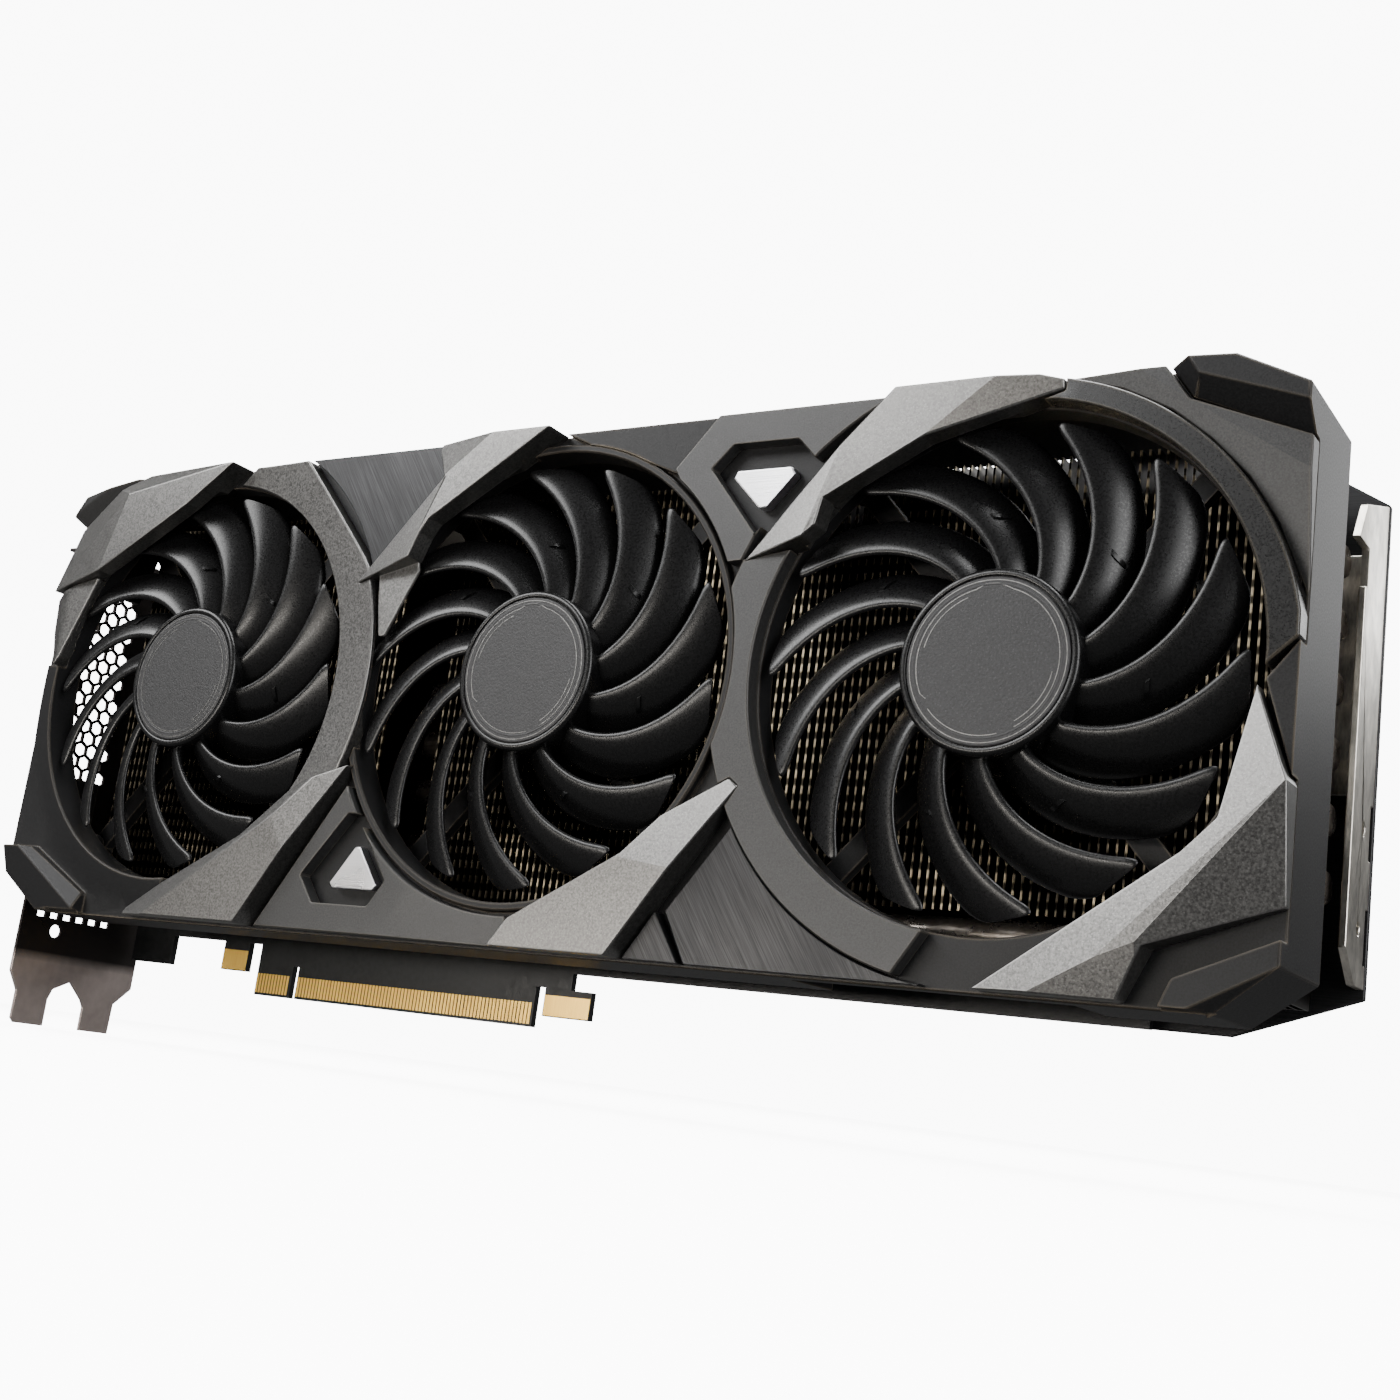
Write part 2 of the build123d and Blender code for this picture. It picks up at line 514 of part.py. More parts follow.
def heatsink():
    """File the fin stacks, heat pipes and plates between the fans and the board."""
    left = fin_stack(*LEFT_STACK) - block(-60, 60, PIPE_Y - 3.6, 0, LOOP_Z - 3.6, LOOP_Z + 3.6)
    keep("fin_stack_left", only_solid(left - block(-60, PORT_END_X + 1, PORT_FRONT_Y - 0.6, 0, 16, 114)))
    right = fin_stack(*RIGHT_STACK) - block(149, 197, -13.2, 0, 100.8, 120)
    right = right - block(45, 206, PIPE_Y - 3.6, 0, LOOP_Z - 3.6, LOOP_Z + 3.6)
    right = right - block(146, 206, -30, LOOP_FRONT_Y + 3.6, FIN_BOTTOM_Z - 1, LOOP_Z + 3.6)
    right = right - block(194, 209, -30, 0, FIN_BOTTOM_Z - 1, LOOP_Z + 3.6)
    keep("fin_stack_right", only_solid(right))
    pipes = []
    for z in PIPE_Z:
        plane = Plane(origin=(PIPE_LEFT_X, PIPE_Y, z), z_dir=(1, 0, 0))
        pipe = extrude(plane * Circle(PIPE_R), amount=PIPE_RIGHT_X - PIPE_LEFT_X)
        pipes.append(fillet(pipe.edges(), 1.2))
    keep("heat_pipes", *pipes, loop_pipe())
    keep("cold_plate", block(2, 62, FIN_BACK_Y, COLD_PLATE_BACK_Y, 34, 99))
    frame_plate = block(PORT_END_X + 1, 205, FIN_BACK_Y, -3.1, 20, 100)
    keep("mid_plate", frame_plate - block(0, 64, -6, 0, 32, 101))


# ------------------------------------------------------------------ board
BOARD_FRONT_Y = -BOARD_T / 2
GPU_X, GPU_Z = 32.0, 66.5
CONNECTOR_END_X = KEY_W / 2 + LONG_ROW * CONTACT_PITCH + 0.65
CONNECTOR_START_X = -KEY_W / 2 - SHORT_ROW * CONTACT_PITCH - 0.65


def circuit_board():
    """Board outline with the slot connector, its key notch and the two plated hooks."""
    outline = [
        (-58.5, 5.0), (-44.0, 5.0), (-44.0, 12.2), (-25.5, 12.2), (-25.5, 5.2), (-16.8, 5.2), (-16.8, 12.2),
        (CONNECTOR_START_X, 12.2), (CONNECTOR_START_X, 0), (CONNECTOR_END_X, 0), (CONNECTOR_END_X, 8.8),
        (75.1, 8.8), (75.1, 2.6), (87.6, 2.6), (87.6, 8.6), (82, 8.6), (82, 12.2),
        (BOARD_END_X, 12.2), (BOARD_END_X, BOARD_TOP_Z), (-58.5, BOARD_TOP_Z),
    ]
    plane = Plane(origin=(0, BOARD_T / 2, 0), x_dir=(1, 0, 0), z_dir=(0, -1, 0))
    board = extrude(plane * make_face(Polyline(*outline, close=True)), amount=BOARD_T)
    board = board - block(-KEY_W / 2, KEY_W / 2, -2, 2, -1, 7.6)
    for x, z in BOARD_HOLES:
        board = board - y_cylinder(x, z, 1.6, -2, 2)
    return board


def y_cylinder(x, z, radius, front_y, back_y):
    """Round solid along Y."""
    plane = Plane(origin=(x, back_y, z), x_dir=(1, 0, 0), z_dir=(0, -1, 0))
    return extrude(plane * Circle(radius), amount=back_y - front_y)


BOARD_HOLES = [(-52, 104), (-52, 18), (90, 105), (90, 20), (200, 104), (200, 20),
               (GPU_X - 32, GPU_Z - 36), (GPU_X + 34, GPU_Z - 36), (GPU_X - 32, GPU_Z + 36), (GPU_X + 34, GPU_Z + 36)]


def edge_contacts():
    """Plated fingers on both faces of the connector, and the plated faces of the two hooks."""
    pads = []
    for front in (BOARD_FRONT_Y - CONTACT_T, -BOARD_FRONT_Y):
        back = front + CONTACT_T
        for step in range(SHORT_ROW):
            x = -KEY_W / 2 - 0.65 - (step + 0.5) * CONTACT_PITCH
            pads.append(block(x - CONTACT_W / 2, x + CONTACT_W / 2, front, back, 0.6, 5.2))
        for step in range(LONG_ROW):
            x = KEY_W / 2 + 0.15 + (step + 0.5) * CONTACT_PITCH
            pads.append(block(x - CONTACT_W / 2, x + CONTACT_W / 2, front, back, 0.6, 5.2))
        pads.append(block(-25.3, -17.0, front, back, 5.4, 10.2))
        pads.append(block(75.3, 87.4, front, back, 2.8, 7.2))
    return pads


def chip_rows():
    """Places of the memory chips round the processor."""
    places = [(GPU_X - 39, z) for z in (40, 57, 74, 91)]
    places += [(GPU_X + 43, z) for z in (40, 57, 74, 91)]
    places += [(GPU_X - 11, GPU_Z + 36.5), (GPU_X + 13, GPU_Z + 36.5)]
    return places


def board_parts():
    """File the board and everything soldered to it."""
    keep("circuit_board", circuit_board())
    keep("edge_contacts", *edge_contacts())
    substrate = block(GPU_X - 22, GPU_X + 22, -1.885, BOARD_FRONT_Y, GPU_Z - 22, GPU_Z + 22)
    die = block(GPU_X - 13, GPU_X + 13, -2.685, -1.885, GPU_Z - 12, GPU_Z + 12)
    keep("graphics_processor", substrate + die)
    chips = [block(x - 6, x + 6, -1.985, BOARD_FRONT_Y, z - 7, z + 7) for x, z in chip_rows()]
    keep("memory_chips", *chips)
    pads = [block(x - 5.5, x + 5.5, -3.1, -1.985, z - 6.5, z + 6.5) for x, z in chip_rows()[:8]]
    keep("thermal_pads", *pads)
    stages = [block(x - 2.5, x + 2.5, -1.9, BOARD_FRONT_Y, z - 3, z + 3)
              for x in (112, 138) for z in range(32, 94, 10)]
    keep("power_stages", *stages)
    coils = [block(x - 4, x + 4, -3.0, BOARD_FRONT_Y, z - 4, z + 4) for x in (122, 148) for z in range(32, 94, 10)]
    keep("chokes", *coils)
    cans = [y_cylinder(x, z, 3, -3.0, BOARD_FRONT_Y) for x in (162, 170) for z in range(34, 84, 9)]
    keep("capacitors", *cans)
    keep("fan_headers", *[block(x - 5, x + 5, -3.0, BOARD_FRONT_Y, 103.5, 107.5) for x in (100, 112, 124)])
    keep("power_connectors", power_connector(162.5), power_connector(183.5))


def power_connector(x):
    """Eight-way power socket: a housing with two rows of four cells, open at the top."""
    body = block(x - 9.6, x + 9.6, -11.2, BOARD_FRONT_Y, 101.5, 114.5)
    for column in range(4):
        for row in range(2):
            cx = x + (column - 1.5) * 4.2
            cy = -3.6 - row * 4.4
            body = body - block(cx - 1.6, cx + 1.6, cy - 1.6, cy + 1.6, 104.0, 116)
            body = body + block(cx - 0.45, cx + 0.45, cy - 0.45, cy + 0.45, 103.5, 111)
    return body + block(x - 2.2, x + 2.2, -12.4, -11.2, 108.5, 111.5)


# ------------------------------------------------------------------ back and ends
def backplate():
    """Black rear plate with cut corners, a vent field at the far end and a slot at the processor."""
    outline = [(-55, 14), (-50, 12.6), (222, 12.6), (CARD_END_X, 20.8), (CARD_END_X, 109.5), (236, 114.5),
               (-50, 114.5), (-55, 112)]
    plane = Plane(origin=(0, BACKPLATE_Y + BACKPLATE_T, 0), x_dir=(1, 0, 0), z_dir=(0, -1, 0))
    plate = extrude(plane * make_face(Polyline(*outline, close=True)), amount=BACKPLATE_T)
    plate = plate - y_square(GPU_X, GPU_Z, 30, 30)
    for step in range(11):
        bar = Pos(217, BACKPLATE_Y + BACKPLATE_T / 2, 30 + step * 7.2) * Rot(0, -24, 0)
        plate = plate - bar * Box(22, 4, 3.0)
    for x, z in BOARD_HOLES[:6]:
        plate = plate + y_cylinder(x, z, 3.2, BOARD_T / 2, BACKPLATE_Y) - y_cylinder(x, z, 1.3, 0, 8)
    return plate


def y_square(x, z, width, height):
    """Square cutter along Y through the backplate."""
    return block(x - width, x + width, 3, 7, z - height, z + height)


def retention_frame():
    """Sprung cross behind the processor: a ring with four arms."""
    plate = block(GPU_X - 20, GPU_X + 20, 2.2, 3.4, GPU_Z - 20, GPU_Z + 20)
    plate = plate - block(GPU_X - 13, GPU_X + 13, 2, 4, GPU_Z - 13, GPU_Z + 13)
    for x, z in BOARD_HOLES[6:]:
        arm_x0, arm_x1 = sorted((x, GPU_X + math.copysign(15, x - GPU_X)))
        arm_z0, arm_z1 = sorted((z, GPU_Z + math.copysign(15, z - GPU_Z)))
        plate = plate + block(arm_x0 - 2.5, arm_x1 + 2.5, 2.2, 3.4, z - 3.5, z + 3.5)
        end_x = GPU_X + math.copysign(17, x - GPU_X)
        plate = plate + block(end_x - 3, end_x + 3, 2.2, 3.4, arm_z0 - 3, arm_z1 + 3)
    for x, z in BOARD_HOLES[6:]:
        plate = plate - y_cylinder(x, z, 1.6, 0, 5)
    return only_solid(plate)


END_HOLES_Z = [32.2, 49.2]
END_HOLE_Y = -2.2
END_HOLE_R = 1.25


def end_plate():
    """Bright stiffener flange across the far end, with two tapped holes for a case support."""
    outline = [(-10.0, 28.0), (-3.0, 22.5), (3.9, 22.5), (3.9, 26.5), (2.2, 26.5), (2.2, 36.0), (3.9, 36.0),
               (3.9, 44.5), (2.2, 44.5), (2.2, 54.0), (3.9, 54.0), (3.9, 109.2), (-11.6, 104.2), (-16.0, 97.0),
               (-9.0, 97.0), (-9.0, 90.0), (-10.0, 90.0)]
    plane = Plane(origin=(CARD_END_X - 1.5, 0, 0), x_dir=(0, 1, 0), z_dir=(1, 0, 0))
    plate = extrude(plane * make_face(Polyline(*outline, close=True)), amount=1.3)
    foot = block(226, CARD_END_X - 1.0, 2.9, 3.9, 56, 100)
    plate = plate + foot
    for z in END_HOLES_Z:
        hole = Plane(origin=(CARD_END_X - 3, END_HOLE_Y, z), z_dir=(1, 0, 0)) * Circle(END_HOLE_R)
        plate = plate - extrude(hole, amount=6)
    return plate


VENT_PITCH = 3.6
VENT_R = 1.7
VENT_ROWS = 18
VENT_BOTTOM_Z = 48.0


def io_bracket():
    """Two-slot steel bracket: tongues, honeycomb vents, port windows and the bent screw tab."""
    outline = [
        (-34.8, 4.6), (-34.8, -2.0), (-32.0, -6.5), (-32.0, -13.3), (-31.0, -14.3), (-22.6, -14.3), (-22.6, -7.8),
        (-21.6, -5.2), (-16.8, -2.9), (-12.6, -6.8), (-11.5, -8.6), (-11.5, -14.3), (-2.6, -14.3), (-2.4, -6.8),
        (2.4, -2.4), (2.4, 4.0), (2.4, 105.7), (-34.8, 105.7),
    ]
    plane = Plane(origin=(BRACKET_X - BRACKET_T, 0, 0), x_dir=(0, 1, 0), z_dir=(1, 0, 0))
    plate = extrude(plane * make_face(Polyline(*outline, close=True)), amount=BRACKET_T)
    cutters = []
    for row in range(VENT_ROWS):
        for column in range(4 - row % 2):
            y = -33.2 + VENT_PITCH / 2 + column * VENT_PITCH + (row % 2) * VENT_PITCH / 2
            z = VENT_BOTTOM_Z + row * VENT_PITCH * 0.866
            hexagon = Plane(origin=(BRACKET_X - 2, y, z), x_dir=(0, 0, 1), z_dir=(1, 0, 0))
            cutters.append(extrude(hexagon * RegularPolygon(VENT_R, 6), amount=4))
    for step in range(6):
        y = -29.4 + step * 3.9
        cutters.append(block(BRACKET_X - 2, BRACKET_X + 1, y - 1.2, y + 1.2, 11.8, 14.4))
    for low, high in PORT_SPANS:
        cutters.append(block(BRACKET_X - 2, BRACKET_X + 1, PORT_FRONT_Y, PORT_BACK_Y, low - 0.3, high + 0.3))
    tab_hole = Plane(origin=(BRACKET_X - 2, -24.3, 8.8), z_dir=(1, 0, 0)) * Circle(1.6)
    plate = plate.cut(*cutters, extrude(tab_hole, amount=4))
    tab = block(BRACKET_X - 11.4, BRACKET_X, -34.8, 2.4, 104.9, 105.7)
    for y in (-27.3, -7.05):
        tab = tab - Pos(BRACKET_X - 8.4, y, 105) * Cylinder(2.2, 4)
        tab = tab - block(BRACKET_X - 12, BRACKET_X - 8.4, y - 2.2, y + 2.2, 104, 107)
    ear = block(BRACKET_X - BRACKET_T, BRACKET_X + 9.5, -1.7, BOARD_FRONT_Y - 0.005, 99.5, 108)
    ear = ear - y_cylinder(-52, 104, 1.6, -4, 2)
    return only_solid(plate + tab + ear)


PORT_FRONT_Y = -6.4
PORT_BACK_Y = -0.9
PORT_SPANS = [(22.0, 38.0), (43.0, 59.0), (64.0, 80.0), (84.5, 99.0)]


def port_shell(low, high):
    """Metal socket shell with its tongue."""
    body = block(BRACKET_X - 1.4, PORT_END_X, PORT_FRONT_Y + 0.3, PORT_BACK_Y - 0.3, low, high)
    body = body - block(BRACKET_X - 3, BRACKET_X + 8.5, PORT_FRONT_Y + 0.8, PORT_BACK_Y - 0.8, low + 0.5, high - 0.5)
    return body + block(BRACKET_X - 0.6, BRACKET_X + 9.0, -4.0, -3.2, low + 2, high - 2)


def ports():
    """File the sockets behind the bracket."""
    keep("display_ports", *[port_shell(*span) for span in PORT_SPANS[:3]])
    keep("hdmi_port", port_shell(*PORT_SPANS[3]))


SCREW_HEAD_T = 0.7


def screw_along_y(x, z, tip_y, head_y):
    """Pan-head screw from a head near the back to a tip further forward."""
    shank = y_cylinder(x, z, 1.05, tip_y, head_y)
    head = y_cylinder(x, z, 2.3, head_y, head_y + SCREW_HEAD_T)
    slot = Pos(x, head_y + SCREW_HEAD_T, z) * (Box(2.6, 0.7, 0.6) + Box(0.6, 0.7, 2.6))
    return shank + head - slot


def screws():
    """All screws: the fan fixings and the processor's four sprung screws."""
    parts = []
    for index in range(FAN_COUNT):
        for angle in LUG_ANGLES:
            u = index * FAN_PITCH + LUG_CIRCLE_R * math.cos(math.radians(angle))
            place = point3(u, LUG_CIRCLE_R * math.sin(math.radians(angle)), 0)
            parts.append(screw_along_y(place.X, place.Z, -40.5, FRAME_BACK_Y))
    for x, z in BOARD_HOLES[6:]:
        parts.append(screw_along_y(x, z, -2.7, 3.4))
    return parts


# ------------------------------------------------------------------ build
def shroud():
    """File the shroud and everything clipped to its front."""
    keep("shroud_shell", shroud_shell())
    keep("ring_left", *ring_left())
    keep("ring_right_upper", ring_right_upper())
    keep("ring_right_lower", ring_right_lower())
    keep("trim_left_upper", trim_left_upper())
    keep("trim_left_lower", trim_left_lower())
    keep("trim_middle_upper", trim_middle_upper())
    keep("trim_middle_lower", trim_middle_lower())
    keep("trim_right_upper", trim_right_upper())
    keep("trim_right_lower", trim_right_lower())
    keep("trim_right_side", trim_right_side())
    keep("panel_upper", panel_upper())
    keep("panel_lower", panel_lower(), filler_lower())
    keep("badge_plate_upper", badge_plate_upper())
    keep("badge_plate_lower", badge_plate_lower())
    keep("badge_upper", badge([(141.6, 38.4), (153.6, 38.4), (154.4, 37), (148.8, 30.6), (147.4, 30.6), (141, 37)]))
    keep("badge_lower", badge([(55.4, -44.6), (56.2, -45.4), (67.4, -45.4), (68.2, -44.4), (62.2, -36.6), (61.2, -36.6)]))


shroud()
fans()
heatsink()
board_parts()
keep("backplate", backplate())
keep("retention_frame", retention_frame())
keep("end_plate", end_plate())
keep("io_bracket", io_bracket())
ports()
keep("screws", *screws())

for name, shape in NODES.items():
    export_step(shape, f"parts/{name}.step")
print(len(NODES), "nodes")
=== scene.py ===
import json
import math

import bmesh
import bpy
from mathutils import Matrix, Vector


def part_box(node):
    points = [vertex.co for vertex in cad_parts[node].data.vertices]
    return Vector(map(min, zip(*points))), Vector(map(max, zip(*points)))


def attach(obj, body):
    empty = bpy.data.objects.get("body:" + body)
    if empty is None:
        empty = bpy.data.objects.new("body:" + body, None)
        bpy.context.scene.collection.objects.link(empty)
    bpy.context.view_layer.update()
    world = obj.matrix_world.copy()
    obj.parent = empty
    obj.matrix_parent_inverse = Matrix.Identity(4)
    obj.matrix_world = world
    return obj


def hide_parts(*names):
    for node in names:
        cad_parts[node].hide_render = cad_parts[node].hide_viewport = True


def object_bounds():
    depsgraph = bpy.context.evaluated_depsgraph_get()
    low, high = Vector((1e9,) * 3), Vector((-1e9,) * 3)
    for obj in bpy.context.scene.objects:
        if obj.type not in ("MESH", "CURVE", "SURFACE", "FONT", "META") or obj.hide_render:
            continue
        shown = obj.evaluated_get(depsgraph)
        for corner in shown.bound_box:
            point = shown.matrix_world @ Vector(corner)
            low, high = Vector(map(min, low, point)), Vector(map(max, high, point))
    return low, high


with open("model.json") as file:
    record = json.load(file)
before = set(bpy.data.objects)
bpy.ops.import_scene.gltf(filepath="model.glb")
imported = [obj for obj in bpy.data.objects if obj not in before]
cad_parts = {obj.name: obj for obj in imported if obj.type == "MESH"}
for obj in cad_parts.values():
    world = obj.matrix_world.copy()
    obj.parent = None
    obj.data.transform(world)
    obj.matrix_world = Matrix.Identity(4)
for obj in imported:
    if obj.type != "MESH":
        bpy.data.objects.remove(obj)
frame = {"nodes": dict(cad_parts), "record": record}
nodes = frame["nodes"]
cad_low, cad_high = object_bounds()

MM = 0.001
SIDES = ["left", "middle", "right"]

# fan blades, in millimetres and degrees, as in the design
BLADE_COUNT = 14
BLADE_TIP_R = 43.3
HUB_R = 16.4
HUB_FRONT_Y = -48.0
HUB_BACK_Y = -36.0
BLADE_FRONT_Y = -46.3
FAN_PHASES = {"left": 6.0, "middle": 0.0, "right": 4.5}


# ------------------------------------------------------------------ material nodes
class Finish:
    """A material under construction: a principled shader and the textures that drive it."""

    def __init__(self, name, roughness=0.5, metallic=0.0):
        self.material = bpy.data.materials.new(name)
        self.material.use_nodes = True
        self.tree = self.material.node_tree
        self.shader = self.tree.nodes["Principled BSDF"]
        self.shader.inputs["Roughness"].default_value = roughness
        self.shader.inputs["Metallic"].default_value = metallic
        self.bump = None
        coords = self.tree.nodes.new("ShaderNodeTexCoord")
        self.place = coords.outputs["Object"]

    def link(self, source, target):
        self.tree.links.new(source, target)

    def set(self, socket, value):
        self.shader.inputs[socket].default_value = value
        return self

    def turned(self, angle, size):
        """Coordinates turned about Y, with features of the given size along each axis, in metres."""
        mapping = self.tree.nodes.new("ShaderNodeMapping")
        mapping.vector_type = "TEXTURE"
        mapping.inputs["Rotation"].default_value = (0, math.radians(angle), 0)
        mapping.inputs["Scale"].default_value = size
        self.link(self.place, mapping.inputs["Vector"])
        return mapping.outputs["Vector"]

    def noise(self, size, detail=2.0, vector=None, rough=0.5):
        """Noise with features of about this size, in metres."""
        node = self.tree.nodes.new("ShaderNodeTexNoise")
        node.inputs["Scale"].default_value = 1 / size
        node.inputs["Detail"].default_value = detail
        node.inputs["Roughness"].default_value = rough
        self.link(vector or self.place, node.inputs["Vector"])
        return node.outputs["Fac"]

    def cells(self, size, vector=None):
        """Distance to random points about this far apart, for flakes."""
        node = self.tree.nodes.new("ShaderNodeTexVoronoi")
        node.inputs["Scale"].default_value = 1 / size
        self.link(vector or self.place, node.inputs["Vector"])
        return node.outputs["Distance"]

    def height(self, axis, start, end):
        """0 below start and 1 past end along one axis, in metres."""
        split = self.tree.nodes.new("ShaderNodeSeparateXYZ")
        self.link(self.place, split.inputs["Vector"])
        return self.remap(split.outputs[axis], start, end, 0.0, 1.0)

    def remap(self, value, low, high, out_low, out_high):
        node = self.tree.nodes.new("ShaderNodeMapRange")
        node.inputs["From Min"].default_value = low
        node.inputs["From Max"].default_value = high
        node.inputs["To Min"].default_value = out_low
        node.inputs["To Max"].default_value = out_high
        self.link(value, node.inputs["Value"])
        return node.outputs["Result"]

    def edges(self, radius=0.0006):
        """1 along rounded-over edges and 0 on flat surfaces."""
        bevel = self.tree.nodes.new("ShaderNodeBevel")
        bevel.samples = 4
        bevel.inputs["Radius"].default_value = radius
        flat = self.tree.nodes.new("ShaderNodeNewGeometry")
        dot = self.tree.nodes.new("ShaderNodeVectorMath")
        dot.operation = "DOT_PRODUCT"
        self.link(bevel.outputs["Normal"], dot.inputs[0])
        self.link(flat.outputs["Normal"], dot.inputs[1])
        return self.remap(dot.outputs["Value"], 0.995, 0.9, 0.0, 1.0)

    def mix(self, factor, first, second):
        """Colour between two colours or colour outputs."""
        node = self.tree.nodes.new("ShaderNodeMix")
        node.data_type = "RGBA"
        self.link(factor, node.inputs["Factor"])
        for socket, colour in ((node.inputs[6], first), (node.inputs[7], second)):
            if isinstance(colour, bpy.types.NodeSocket):
                self.link(colour, socket)
            else:
                socket.default_value = (*colour, 1)
        return node.outputs[2]

    def colour(self, output):
        self.link(output, self.shader.inputs["Base Color"])
        return self

    def rough(self, output):
        self.link(output, self.shader.inputs["Roughness"])
        return self

    def raised(self, height, distance, strength=1.0):
        """Adds a bump layer, distance in metres."""
        node = self.tree.nodes.new("ShaderNodeBump")
        node.inputs["Strength"].default_value = strength
        node.inputs["Distance"].default_value = distance
        self.link(height, node.inputs["Height"])
        if self.bump is not None:
            self.link(self.bump, node.inputs["Normal"])
        self.bump = node.outputs["Normal"]
        self.link(self.bump, self.shader.inputs["Normal"])
        return self


def scaled(colour, factor):
    return tuple(min(1.0, c * factor) for c in colour)


def painted(name, colour, roughness, metallic=0.0, grain=0.00035, depth=0.00002, edge_highlight=1.9, flakes=1.5,
            gloss=0.5, rim=None):
    """Satin paint or moulded plastic: fine grain, sparse flakes, cloudy gloss and a painted highlight along
    the edges.

    grain and depth are the size and the height of the grain in metres; the edge factor and flakes scale the
    colour along the edges, for the painted highlight, and in the flakes; rim is a colour for the painted edge
    highlight that takes the place of the scaled colour.
    """
    f = Finish(name, roughness, metallic)
    cloud = f.noise(0.03, 3)
    fine = f.noise(grain, 3, rough=0.6)
    speck = f.remap(f.cells(grain * 1.3), 0.05, 0.3, 1.0, 0.0)
    base = f.mix(f.remap(cloud, 0.35, 0.7, 0, 1), scaled(colour, 0.75), scaled(colour, 0.95))
    base = f.mix(f.remap(fine, 0.35, 0.65, 0, 1), base, scaled(colour, 1.5))
    base = f.mix(speck, base, scaled(colour, flakes))
    # painted highlight: a lighter or warm-tinted colour along the rounded-over edges
    f.colour(f.mix(f.edges(), base, rim or scaled(colour, edge_highlight)))
    f.rough(f.remap(fine, 0.3, 0.7, roughness - 0.07, roughness + 0.08))
    f.raised(fine, depth)
    f.set("Specular IOR Level", gloss)
    return f.material


def brushed(name, colour, roughness, angle=0.0, metallic=1.0, contrast=1.6, line=0.00022, length=0.012):
    """Metal or film with parallel brushing at an angle about Y, and smudges.

    line and length are the width and the length of the brushed lines, in metres.
    """
    f = Finish(name, roughness, metallic)
    stretched = f.turned(angle, (length, 0.004, line))
    lines = f.noise(1.0, 3, stretched, rough=0.65)
    smudge = f.noise(0.018, 3)
    base = f.mix(f.remap(lines, 0.3, 0.7, 0, 1), scaled(colour, 1 / contrast), scaled(colour, contrast))
    f.colour(f.mix(f.remap(smudge, 0.4, 0.75, 0, 0.35), base, scaled(colour, 0.8)))
    f.rough(f.remap(smudge, 0.3, 0.7, roughness - 0.06, roughness + 0.1))
    f.raised(lines, 0.00002, 0.8)
    return f.material


# waves along Z of the painted highlight dashes on the fins' front edges
HIGHLIGHT_DASH_SCALE = 105


def fin_sheet(name, colour, roughness, front, back):
    """Thin plated sheets with a painted highlight in dashes along their front edge and painted shade behind
    it, dark between neighbours.

    front and back are the Y of the edge with the painted highlight and of the painted shade at depth behind
    it, in metres.
    """
    f = Finish(name, roughness, 1.0)
    lines = f.noise(1.0, 3, f.turned(90, (0.02, 0.004, 0.0005)), rough=0.65)
    dashes = f.tree.nodes.new("ShaderNodeTexWave")
    dashes.bands_direction = "Z"
    dashes.inputs["Scale"].default_value = HIGHLIGHT_DASH_SCALE
    dashes.inputs["Distortion"].default_value = 0.6
    f.link(f.place, dashes.inputs["Vector"])
    # painted highlight: light dashes along the front edge, dark between them
    dash_highlight = f.mix(f.remap(dashes.outputs["Fac"], 0.25, 0.7, 0, 1), scaled(colour, 0.12), scaled(colour, 1.3))
    # painted shade: near black deeper than the front edge, between neighbouring fins
    f.colour(f.mix(f.height("Y", front, back), dash_highlight, scaled(colour, 0.04)))
    f.raised(lines, 0.00002, 0.8)
    return f.material


def plated(name, colour, tint, roughness, grain=0.004, shaded_above=None):
    """Smooth plated or cast metal with faint tarnish, and painted shade, near black, above a stretch of
    height if one is given.
    """
    f = Finish(name, roughness, 0.85)
    tarnish = f.noise(grain, 4, rough=0.6)
    base = f.mix(f.remap(tarnish, 0.4, 0.75, 0, 1), colour, tint)
    if shaded_above:
        # painted shade: fades to near black over the given stretch of height
        base = f.mix(f.height("Z", *shaded_above), base, scaled(colour, 0.06))
    f.colour(base)
    f.rough(f.remap(tarnish, 0.3, 0.7, roughness - 0.05, roughness + 0.12))
    f.raised(f.noise(grain / 8, 2), 0.00001, 0.6)
    return f.material
